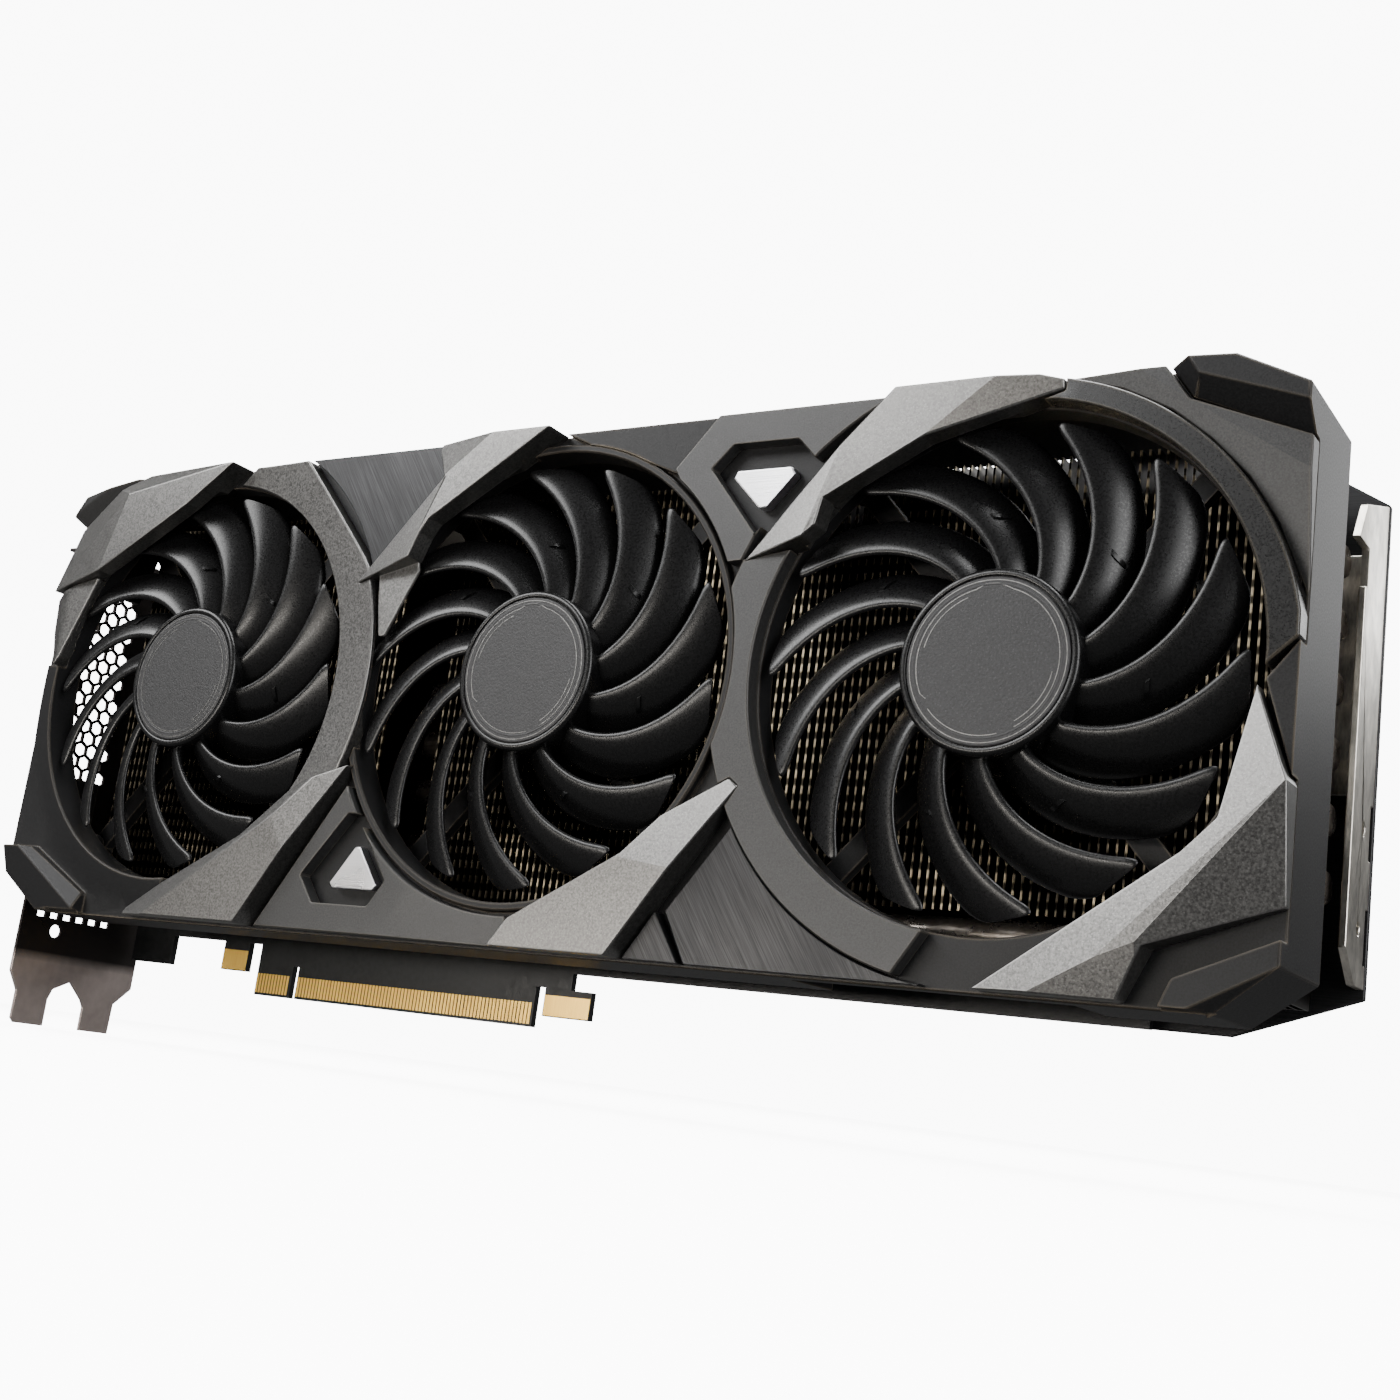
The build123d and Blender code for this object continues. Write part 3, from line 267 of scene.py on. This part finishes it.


# rim colours and edge factors above 1 paint a highlight along the edges
MATERIALS = {
    "black_plastic": painted("black_plastic", (0.01, 0.01, 0.0105), 0.46, gloss=0.22,
                             rim=(0.11, 0.09, 0.065)),
    "grey_trim": painted("grey_trim", (0.135, 0.133, 0.129), 0.36, 0.9, grain=0.00045, edge_highlight=2.0,
                         flakes=1.9),
    "dark_trim": painted("dark_trim", (0.03, 0.03, 0.03), 0.44, 0.35, flakes=1.8, rim=(0.09, 0.08, 0.065)),
    "gloss_crescent": painted("gloss_crescent", (0.007, 0.007, 0.007), 0.3, grain=0.0003, depth=0.000004,
                              flakes=1.1, gloss=0.4, rim=(0.12, 0.1, 0.07)),
    "brushed_panel": brushed("brushed_panel", (0.024, 0.024, 0.025), 0.36, 55, 0.7, 1.9),
    "silver_badge": brushed("silver_badge", (0.72, 0.72, 0.74), 0.32, 0, 1.0, 1.06),
    "fan_plastic": painted("fan_plastic", (0.003, 0.003, 0.0032), 0.3, grain=0.0004, depth=0.000001,
                           edge_highlight=1.0, flakes=1.1, gloss=0.4),
    "hub_cap": painted("hub_cap", (0.02, 0.02, 0.021), 0.5, 0.3, grain=0.0005, depth=0.00009, flakes=2.2),
    "magnet": plated("magnet", (0.12, 0.12, 0.12), (0.06, 0.06, 0.06), 0.6, 0.001),
    "bearing_brass": plated("bearing_brass", (0.6, 0.42, 0.17), (0.45, 0.3, 0.12), 0.35),
    "stator": brushed("stator", (0.55, 0.24, 0.1), 0.4, 90, 1.0, 1.5, 0.0003, 0.002),
    # fins: painted highlight in dashes on the front edges, painted shade behind them
    "fins": fin_sheet("fins", (0.5, 0.42, 0.29), 0.3, -0.0239, -0.0232),
    "nickel": plated("nickel", (0.3, 0.27, 0.24), (0.2, 0.17, 0.14), 0.26),
    "copper": plated("copper", (0.72, 0.42, 0.26), (0.5, 0.26, 0.14), 0.3),
    "plate_aluminium": plated("plate_aluminium", (0.1, 0.1, 0.105), (0.06, 0.06, 0.065), 0.5, 0.002),
    "board": painted("board", (0.006, 0.0065, 0.007), 0.36, grain=0.0012, depth=0.00001, edge_highlight=3.0,
                     flakes=1.2, gloss=0.3),
    "gold": brushed("gold", (1.0, 0.58, 0.12), 0.32, 90, 0.6, 1.12, 0.0002, 0.006),
    "chip": painted("chip", (0.02, 0.02, 0.021), 0.55, grain=0.0005),
    "pad": painted("pad", (0.38, 0.4, 0.43), 0.8, grain=0.0012, depth=0.00006, edge_highlight=1.0),
    "choke": painted("choke", (0.06, 0.06, 0.062), 0.5, 0.3, grain=0.0006),
    "socket_plastic": painted("socket_plastic", (0.012, 0.012, 0.012), 0.45, edge_highlight=2.5),
    "backplate_paint": brushed("backplate_paint", (0.022, 0.022, 0.023), 0.42, 0, 0.6, 1.5, 0.0003, 0.02),
    "steel": brushed("steel", (0.5, 0.5, 0.5), 0.35, 0, 1.0, 1.15),
    "bright_plate": brushed("bright_plate", (0.62, 0.59, 0.53), 0.34, 90, 1.0, 1.5, 0.0016, 0.006),
    # painted shade: the bracket steel fades to near black from 1 to 3.5 mm up
    "bracket_steel": plated("bracket_steel", (0.55, 0.47, 0.44), (0.33, 0.28, 0.26), 0.42, 0.012,
                            shaded_above=(0.001, 0.0035)),
    "screw_steel": plated("screw_steel", (0.3, 0.3, 0.3), (0.2, 0.2, 0.2), 0.35, 0.001),
}
SLOT_OF = {row["node"]: row["material_slot"] for row in frame["record"]["subparts"]}
BODIES = frame["record"]["behaviour"]["bodies"]
BODY_OF = {node: body for body, members in BODIES.items() for node in members}


# ------------------------------------------------------------------ mesh helpers
def add_piece(name, mesh, node, slot=None, stands_for=True):
    """A new visible piece that rides with a CAD node and usually stands for it."""
    piece = bpy.data.objects.new(name, mesh)
    bpy.context.scene.collection.objects.link(piece)
    slot = slot or SLOT_OF[node]
    mesh.materials.clear()
    mesh.materials.append(MATERIALS[slot])
    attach(piece, BODY_OF[node])
    if stands_for:
        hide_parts(node)
    return piece


def mark_sharp(mesh_data, angle):
    """Smooth faces, with sharp edges above an angle."""
    limit = math.radians(angle)
    for face in mesh_data.faces:
        face.smooth = True
    for edge in mesh_data.edges:
        edge.smooth = len(edge.link_faces) == 2 and edge.calc_face_angle(0) < limit


def to_mesh(name, mesh_data):
    """A mesh made from bmesh data, which is freed."""
    mesh = bpy.data.meshes.new(name)
    mesh_data.to_mesh(mesh)
    mesh_data.free()
    return mesh


# folds above this many degrees stay crisp: the trims have shallow folds and no curves
FOLD_CREASE = 5
CURVE_CREASE = 32
# edges above this many degrees are rounded over
ROUNDED_ANGLE = 28
ROUNDING_SEGMENTS = 2
# CAD vertices closer than this are one, in metres
CAD_WELD = 2e-6
WELD = 1e-6


def rounded(node, width):
    """A copy of a CAD node with its vertices welded and its edges rounded over, width in millimetres."""
    shape = bmesh.new()
    shape.from_mesh(nodes[node].data)
    bmesh.ops.remove_doubles(shape, verts=shape.verts, dist=CAD_WELD)
    mark_sharp(shape, FOLD_CREASE if node.startswith("trim_") else CURVE_CREASE)
    piece = add_piece(f"{node}_skin", to_mesh(f"{node}_skin", shape), node)
    bevel = piece.modifiers.new("rounding", "BEVEL")
    bevel.width = width * MM
    bevel.segments = ROUNDING_SEGMENTS
    bevel.limit_method = "ANGLE"
    bevel.angle_limit = math.radians(ROUNDED_ANGLE)
    bevel.use_clamp_overlap = False
    bevel.miter_outer = "MITER_ARC"
    weighted = piece.modifiers.new("flat faces", "WEIGHTED_NORMAL")
    weighted.keep_sharp = True


def grid_faces(shape, rows, closed=True):
    """Faces between successive loops of vertices."""
    for first, second in zip(rows, rows[1:]):
        count = len(first)
        for i in range(count if closed else count - 1):
            j = (i + 1) % count
            shape.faces.new((first[i], first[j], second[j], second[i]))


def lathe(shape, centre, profile, segments=128):
    """Surface of revolution about Y from (radius, y) pairs in millimetres."""
    rows = []
    for step in range(segments):
        angle = 2 * math.pi * step / segments
        across = Vector((math.cos(angle), 0, math.sin(angle)))
        row = [shape.verts.new(centre + (across * radius + Vector((0, y, 0))) * MM) for radius, y in profile]
        rows.append(row)
    grid_faces(shape, rows + [rows[0]], closed=False)


def arc_profile(radius, y, corner, steps=5):
    """Points that round the outer front corner of a lathe profile."""
    points = []
    for step in range(steps + 1):
        angle = math.pi / 2 * step / steps
        points.append((radius - corner + corner * math.sin(angle), y + corner - corner * math.cos(angle)))
    return points


# ------------------------------------------------------------------ fans
def fan_centre(side):
    low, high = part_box(f"fan_{side}_hub_cap")
    return Vector(((low.x + high.x) / 2, 0, (low.z + high.z) / 2))


# sections of a blade's skin
BLADE_STATIONS = 14
TIP_STATIONS = 6
CHORD_POINTS = 12
TIP_ROUND = 2.6
# how the blade changes from the hub to its tip, in millimetres and degrees
BLADE_SWEEP = 40.0
ROOT_CHORD = 8.2
CHORD_GAIN = 4.6
ROOT_DEPTH = 6.4
DEPTH_LOSS = 2.4
ROOT_THICKNESS = 1.5
THICKNESS_LOSS = 0.3
FILLET_SHARE = 0.9
FILLET_REACH = 1.4
# shares of the chord over which the leading and the trailing edge round off
NOSE = 0.14
TAIL = 0.1


def blade_point(radius, along, side, trim, thin):
    """One point of a blade's skin; along runs from the leading edge (0) to the trailing edge (1)."""
    span = max(0.0, (radius - HUB_R) / (BLADE_TIP_R - HUB_R))
    sweep = math.radians(BLADE_SWEEP * (span ** 1.15 - 1))
    width = ROOT_CHORD + CHORD_GAIN * span
    depth = ROOT_DEPTH - DEPTH_LOSS * span
    fillet = 1 + FILLET_SHARE * math.exp(-(radius - HUB_R) / FILLET_REACH)
    thickness = (ROOT_THICKNESS - THICKNESS_LOSS * span) * thin * fillet
    share = (trim + (width - 2 * trim) * along) / width
    nose = min(1.0, along / NOSE)
    tail = min(1.0, (1 - along) / TAIL)
    half = thickness / 2 * math.sqrt(1 - (1 - nose) ** 2) * math.sqrt(1 - (1 - tail) ** 2)
    middle = sweep - width / 2 / radius
    angle = middle + (0.5 - share) * width / radius
    y = BLADE_FRONT_Y + thickness / 2 + depth * share ** 1.7 + side * half
    return Vector((math.cos(angle) * radius, y, math.sin(angle) * radius))


def blade_stations():
    """Radius, corner trim and thickness share of each section, closer together at the tip."""
    inner = BLADE_TIP_R - TIP_ROUND
    start = HUB_R - 0.5
    stations = [(start + (inner - start) * i / BLADE_STATIONS, 0.0, 1.0) for i in range(BLADE_STATIONS)]
    for step in range(TIP_STATIONS + 1):
        angle = math.pi / 2 * step / TIP_STATIONS
        stations.append((inner + TIP_ROUND * math.sin(angle), TIP_ROUND * (1 - math.cos(angle)),
                         max(0.3, math.cos(angle) ** 0.4)))
    return stations


def add_blade(shape, centre, turn):
    """One swept blade, its root sunk in the hub and closed at its round tip."""
    shares = [0.5 - 0.5 * math.cos(math.pi * i / CHORD_POINTS) for i in range(CHORD_POINTS + 1)]
    around = [(share, -1) for share in shares] + [(share, 1) for share in reversed(shares[1:-1])]
    rows = []
    for radius, trim, thin in blade_stations():
        points = [turn @ blade_point(radius, share, side, trim, thin) for share, side in around]
        rows.append([shape.verts.new(centre + point * MM) for point in points])
    grid_faces(shape, rows)
    shape.faces.new(rows[-1])


RIB_R = 27.0
RIB_HALF = 0.35
RIB_RISE = 1.1
# share of the chord and share of the rise
RIB_OUTLINE = [(0.42, 0.1), (0.5, 0.85), (0.6, 1.0), (0.72, 0.9), (0.8, 0.1)]


def add_rib(shape, centre, turn):
    """Small upright rib along the chord, on the front of every second blade."""
    rows = []
    for share, rise in RIB_OUTLINE:
        low = [blade_point(RIB_R + across, share, -0.2, 0.0, 1.0) for across in (-RIB_HALF, RIB_HALF)]
        high = [point - Vector((0, RIB_RISE * rise, 0)) for point in low]
        ring = [low[0], low[1], high[1], high[0]]
        rows.append([shape.verts.new(centre + (turn @ point) * MM) for point in ring])
    grid_faces(shape, rows)
    shape.faces.new(rows[0])
    shape.faces.new(rows[-1])


# radii and heights of the hub cup; a profile starts and ends just off the axis
AXIS_R = 0.0001
SEAT_R = 14.95
SEAT_Y = -47.55
CUP_FLOOR_Y = -46.4
CUP_WALL = 1.2
CUP_CORNER = 1.0
ROTOR_CREASE = 50


def fan_rotor(side):
    """Hub cup and blades of one fan."""
    shape = bmesh.new()
    centre = fan_centre(side)
    cup = [(AXIS_R, SEAT_Y), (SEAT_R, SEAT_Y), (SEAT_R, HUB_FRONT_Y + 0.15), (SEAT_R + 0.15, HUB_FRONT_Y)]
    cup += arc_profile(HUB_R, HUB_FRONT_Y, CUP_CORNER)[1:]
    cup += [(HUB_R, HUB_BACK_Y - 0.2), (HUB_R - 0.2, HUB_BACK_Y), (HUB_R - CUP_WALL, HUB_BACK_Y),
            (HUB_R - CUP_WALL, CUP_FLOOR_Y), (AXIS_R, CUP_FLOOR_Y)]
    lathe(shape, centre, cup)
    for step in range(BLADE_COUNT):
        turn = math.radians(-FAN_PHASES[side]) - 2 * math.pi * step / BLADE_COUNT
        matrix = Matrix.Rotation(turn, 3, "Y")
        add_blade(shape, centre, matrix)
        if step % 2:
            add_rib(shape, centre, matrix)
    bmesh.ops.remove_doubles(shape, verts=shape.verts, dist=WELD)
    bmesh.ops.recalc_face_normals(shape, faces=shape.faces)
    mark_sharp(shape, ROTOR_CREASE)
    add_piece(f"fan_{side}_rotor_skin", to_mesh("rotor", shape), f"fan_{side}_rotor")


CAP_FACE_Y = -47.93
CAP_CREASE = 20
# radius and height behind the face
CAP_PROFILE = [(AXIS_R, 0), (13.2, 0), (13.3, -0.05), (13.5, -0.05), (13.6, 0), (14.5, 0), (14.7, 0.08),
               (14.8, 0.3), (AXIS_R, 0.3)]


def hub_cap(side):
    """Label disc with a raised rim line and a rounded edge."""
    shape = bmesh.new()
    centre = fan_centre(side)
    lathe(shape, centre, [(radius, CAP_FACE_Y + rise) for radius, rise in CAP_PROFILE])
    bmesh.ops.remove_doubles(shape, verts=shape.verts, dist=WELD)
    bmesh.ops.recalc_face_normals(shape, faces=shape.faces)
    mark_sharp(shape, CAP_CREASE)
    add_piece(f"fan_{side}_hub_cap_skin", to_mesh("hub_cap", shape), f"fan_{side}_hub_cap")


# radius, start and end in degrees
LINE_ARCS = [(14.15, 0, 360), (12.9, -62, 74), (12.9, 104, 206), (12.9, 220, 284), (12.0, 112, 168),
             (12.0, 300, 350)]
# start in degrees and radius, then end in degrees and radius
LINE_STEPS = [(74, 12.9, 86, 13.5), (86, 13.5, 96, 13.5), (96, 13.5, 104, 12.9), (206, 12.9, 212, 12.3)]
# half the width and the height of a printed line
LINE_HALF = 0.08
LINE_HEIGHT = 0.06
LINE_FACE_Y = -47.97
LINE_STEP_ANGLE = 3


def hub_lines(side):
    """Thin light ring and broken arcs printed proud of the label disc."""
    shape = bmesh.new()
    centre = fan_centre(side)
    spans = [(radius, start, radius, end) for radius, start, end in LINE_ARCS]
    spans += [(first, start, second, end) for start, first, end, second in LINE_STEPS]
    for first, start, second, end in spans:
        count = max(2, int(abs(end - start) / LINE_STEP_ANGLE) + 1)
        rows = []
        for step in range(count + 1):
            share = step / count
            angle = math.radians(start + (end - start) * share)
            radius = first + (second - first) * share
            across = Vector((math.cos(angle), 0, math.sin(angle)))
            inner, outer = radius - LINE_HALF, radius + LINE_HALF
            back_y = LINE_FACE_Y + LINE_HEIGHT
            corners = [(inner, back_y), (inner, LINE_FACE_Y), (outer, LINE_FACE_Y), (outer, back_y)]
            rows.append([shape.verts.new(centre + (across * r + Vector((0, y, 0))) * MM) for r, y in corners])
        grid_faces(shape, rows)
        shape.faces.new(rows[0])
        shape.faces.new(rows[-1])
    bmesh.ops.recalc_face_normals(shape, faces=shape.faces)
    add_piece(f"fan_{side}_hub_lines", to_mesh("hub_lines", shape), f"fan_{side}_hub_cap", "grey_trim",
              stands_for=False)


# ------------------------------------------------------------------ carried-over pieces
# millimetres of rounding on the edges of each replaced node
ROUNDED = {
    "shroud_shell": 0.35, "ring_left": 0.3, "ring_right_upper": 0.35, "ring_right_lower": 0.3,
    "trim_left_upper": 0.3, "trim_left_lower": 0.3, "trim_middle_upper": 0.3, "trim_middle_lower": 0.3,
    "trim_right_upper": 0.3, "trim_right_lower": 0.3, "trim_right_side": 0.3, "panel_upper": 0.2,
    "panel_lower": 0.2, "badge_plate_upper": 0.3, "badge_plate_lower": 0.3, "badge_upper": 0.35,
    "badge_lower": 0.35, "backplate": 0.25, "end_plate": 0.2, "io_bracket": 0.12,
}


def dress_cad_nodes():
    """Give every carried-over CAD node the material of its slot."""
    for name, node in nodes.items():
        node.data.materials.clear()
        node.data.materials.append(MATERIALS[SLOT_OF[name]])


# ------------------------------------------------------------------ stage, lights and camera
# place in millimetres, field of view in degrees, dome in metres
CAMERA_PLACE = Vector((315.9, -317.5, -9.8))
CAMERA_FORWARD = Vector((-0.548, 0.811, 0.206))
CAMERA_RIGHT = Vector((0.837, 0.532, 0.132))
FIELD_OF_VIEW = 42.34
SHIFT = (0.0096, 0.0077)
DOME_R = 6.0
WORLD_LIGHT = 0.16
STAGE_GREY = (0.85, 0.85, 0.85)
FLOOR_GLOW = 9.0
DOME_GLOW = 10.0
FLOOR_GAP = 0.0005


def camera():
    """Camera at the card's lower right, in front of the fans."""
    data = bpy.data.cameras.new("camera")
    data.sensor_width = 36
    data.angle = math.radians(FIELD_OF_VIEW)
    data.shift_x, data.shift_y = SHIFT
    data.clip_start = 0.01
    data.clip_end = 50
    eye = bpy.data.objects.new("camera", data)
    bpy.context.scene.collection.objects.link(eye)
    back = -CAMERA_FORWARD.normalized()
    right = (CAMERA_RIGHT - back * CAMERA_RIGHT.dot(back)).normalized()
    up = back.cross(right)
    turn = Matrix((right, up, back)).transposed().to_4x4()
    eye.matrix_world = Matrix.Translation(CAMERA_PLACE * MM) @ turn
    bpy.context.scene.camera = eye


def area_light(name, place, aim, size, power, colour=(1, 1, 1)):
    """Softbox at a place, turned to a point, sizes in metres and power in watts."""
    data = bpy.data.lights.new(name, "AREA")
    data.shape = "RECTANGLE"
    data.size, data.size_y = size
    data.energy = power
    data.color = colour
    light = bpy.data.objects.new(name, data)
    bpy.context.scene.collection.objects.link(light)
    light.location = place
    light.rotation_mode = "QUATERNION"
    light.rotation_quaternion = (Vector(aim) - Vector(place)).to_track_quat("-Z", "Y")
    light.visible_camera = False
    return light


def backdrop_material(name, colour, glow):
    """Pale, slightly glowing surface, so that it stays light behind a dark object."""
    f = Finish(name, 0.8)
    f.colour(f.mix(f.noise(0.5, 2), scaled(colour, 0.98), colour))
    f.set("Emission Color", (1, 1, 1, 1)).set("Emission Strength", glow)
    return f.material


def stage():
    """Pale floor and a pale dome, which light nothing themselves."""
    shape = bmesh.new()
    bmesh.ops.create_circle(shape, cap_ends=True, segments=96, radius=DOME_R)
    floor = bpy.data.objects.new("floor", to_mesh("floor", shape))
    floor.location.z = cad_low.z - FLOOR_GAP
    floor.data.materials.append(backdrop_material("floor", STAGE_GREY, FLOOR_GLOW))
    shape = bmesh.new()
    bmesh.ops.create_uvsphere(shape, u_segments=48, v_segments=24, radius=DOME_R)
    dome = bpy.data.objects.new("backdrop", to_mesh("backdrop", shape))
    dome.data.materials.append(backdrop_material("backdrop", STAGE_GREY, DOME_GLOW))
    for thing in (floor, dome):
        bpy.context.scene.collection.objects.link(thing)
        thing.visible_diffuse = False
        thing.visible_glossy = False
        thing.visible_shadow = False
    world = bpy.data.worlds.new("world")
    world.use_nodes = True
    world.node_tree.nodes["Background"].inputs["Color"].default_value = (1, 1, 1, 1)
    world.node_tree.nodes["Background"].inputs["Strength"].default_value = WORLD_LIGHT
    bpy.context.scene.world = world


def lights():
    """Studio softboxes: a large key at the upper left, a low warm strip in front, and three fills."""
    middle = (cad_low + cad_high) / 2
    area_light("key", (-0.62, -0.8, 0.75), middle, (0.9, 0.5), 17)
    area_light("front", (-0.1, -0.6, 0.0), (0.05, 0, 0.0), (0.5, 0.08), 2.2, (1.0, 0.95, 0.88))
    area_light("side", (1.0, -0.5, 0.3), middle, (0.4, 0.8), 8)
    area_light("top", (0.1, 0.0, 1.0), middle, (1.0, 0.4), 20)
    area_light("back", (0.2, 0.9, 0.6), middle, (0.9, 0.6), 7)


dress_cad_nodes()
for name, width in ROUNDED.items():
    rounded(name, width)
for side in SIDES:
    fan_rotor(side)
    hub_cap(side)
    hub_lines(side)
stage()
lights()
camera()
